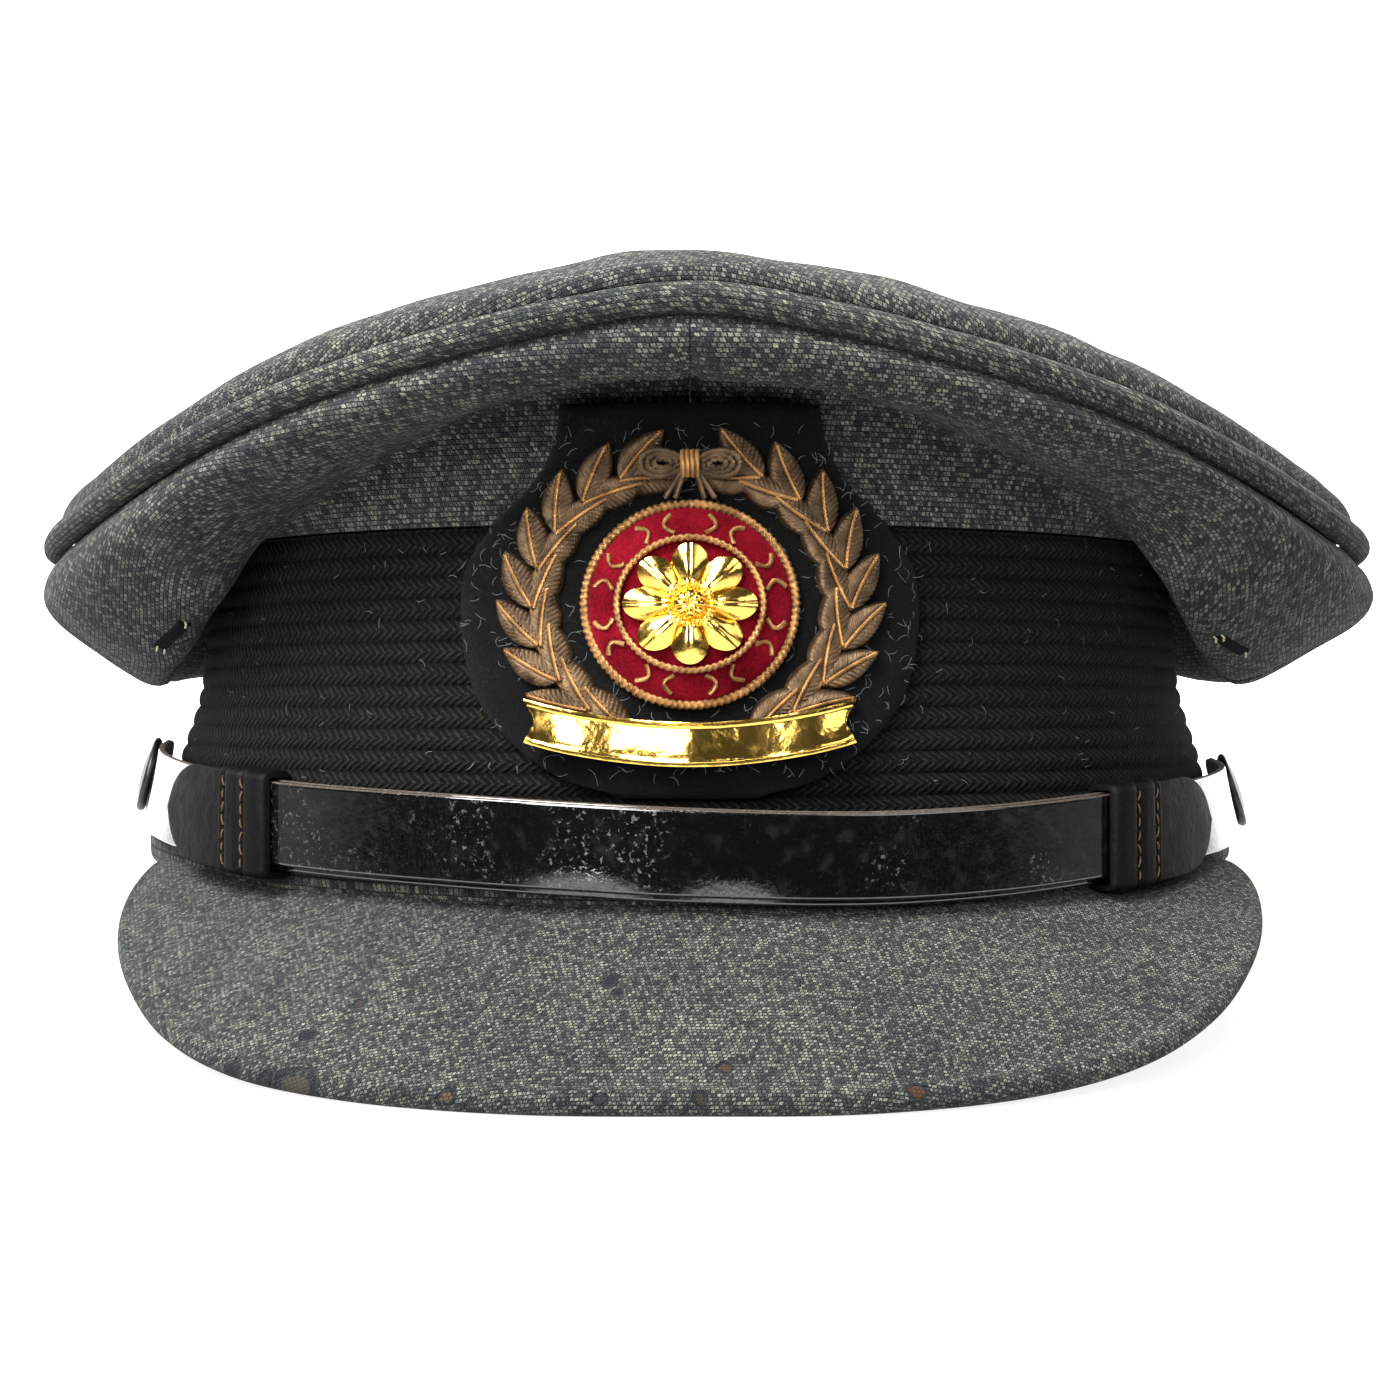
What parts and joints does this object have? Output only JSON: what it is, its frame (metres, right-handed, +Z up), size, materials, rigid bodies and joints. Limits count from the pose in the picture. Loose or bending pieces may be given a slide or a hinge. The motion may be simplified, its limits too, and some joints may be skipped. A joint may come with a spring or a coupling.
{
  "type": "peaked service cap",
  "caption": "Peaked uniform cap with a soft crown, ribbed band, cloth-covered peak, leather chin strap and embroidered badge, resting on a surface.",
  "frame": {"origin": "middle of the foot of the cap's box, on the surface that it rests on", "axes": "+Z up, the peak points towards -Y, +X to the right of a viewer who faces the badge"},
  "size_m": [0.2218, 0.265, 0.1099],
  "materials": {
    "wool_cloth": "flecked blue-grey twill wool, slightly worn",
    "band_braid": "black ribbed mohair braid with lint",
    "patent_leather": "glossy black patent leather with brown cut edges",
    "button_plastic": "black, satin",
    "black_felt": "black felt with grey fibres",
    "bullion_wire": "coiled wire embroidery, tarnished to dark bronze",
    "red_velvet": "crimson velvet pile",
    "gilt_metal": "bright polished gilt"
  },
  "bodies": {
    "root": {"band": "band_braid", "hem": "wool_cloth", "quarter_front_left": "wool_cloth", "quarter_front_right": "wool_cloth", "quarter_back_left": "wool_cloth", "quarter_back_right": "wool_cloth", "crown_welt": "wool_cloth", "crown_top": "wool_cloth", "peak": "wool_cloth", "strap_left": "patent_leather", "strap_right": "patent_leather", "keeper_left": "patent_leather", "keeper_right": "patent_leather", "button_left": "button_plastic", "button_right": "button_plastic", "badge_patch": "black_felt", "badge_wreath": "bullion_wire", "badge_cushion": "red_velvet", "badge_rosette": "gilt_metal", "badge_scroll": "gilt_metal", "badge_bow": "bullion_wire"}
  },
  "joints": []
}
